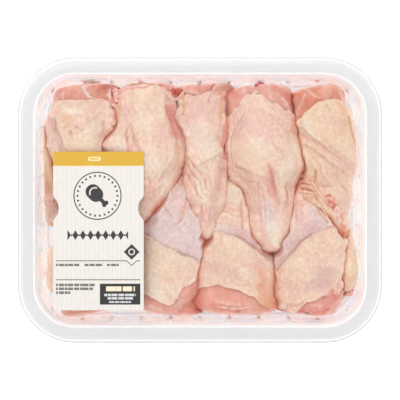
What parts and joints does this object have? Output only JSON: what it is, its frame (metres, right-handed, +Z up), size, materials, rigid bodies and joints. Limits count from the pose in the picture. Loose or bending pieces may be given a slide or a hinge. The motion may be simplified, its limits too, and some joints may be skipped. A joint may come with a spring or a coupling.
{
  "type": "meat tray pack",
  "caption": "Sealed clear tray of raw chicken drumettes with a see-through top film and a paper label.",
  "frame": {"origin": "middle of the tray's flat base, where the pack rests", "axes": "+Z up through the film, +X along the tray's long side, +Y across it, away from the label's lower end"},
  "size_m": [0.227, 0.178, 0.0462],
  "materials": {
    "tray_plastic": "clear, slightly milky thermoformed plastic, glossy",
    "film_plastic": "thin clear plastic film, glossy",
    "label_paper": "matt off-white paper with a yellow band",
    "chicken": "moist raw chicken skin, pale pink, with redder meat at the cut end"
  },
  "bodies": {
    "root": {"tray": "tray_plastic", "lid_film": "film_plastic", "label": "label_paper", "drumette_top_1": "chicken", "drumette_top_2": "chicken", "drumette_top_3": "chicken", "drumette_top_4": "chicken", "drumette_top_5": "chicken", "drumette_bottom_1": "chicken", "drumette_bottom_2": "chicken", "drumette_bottom_3": "chicken", "drumette_bottom_4": "chicken", "drumette_right": "chicken", "drumette_left": "chicken"}
  },
  "joints": []
}
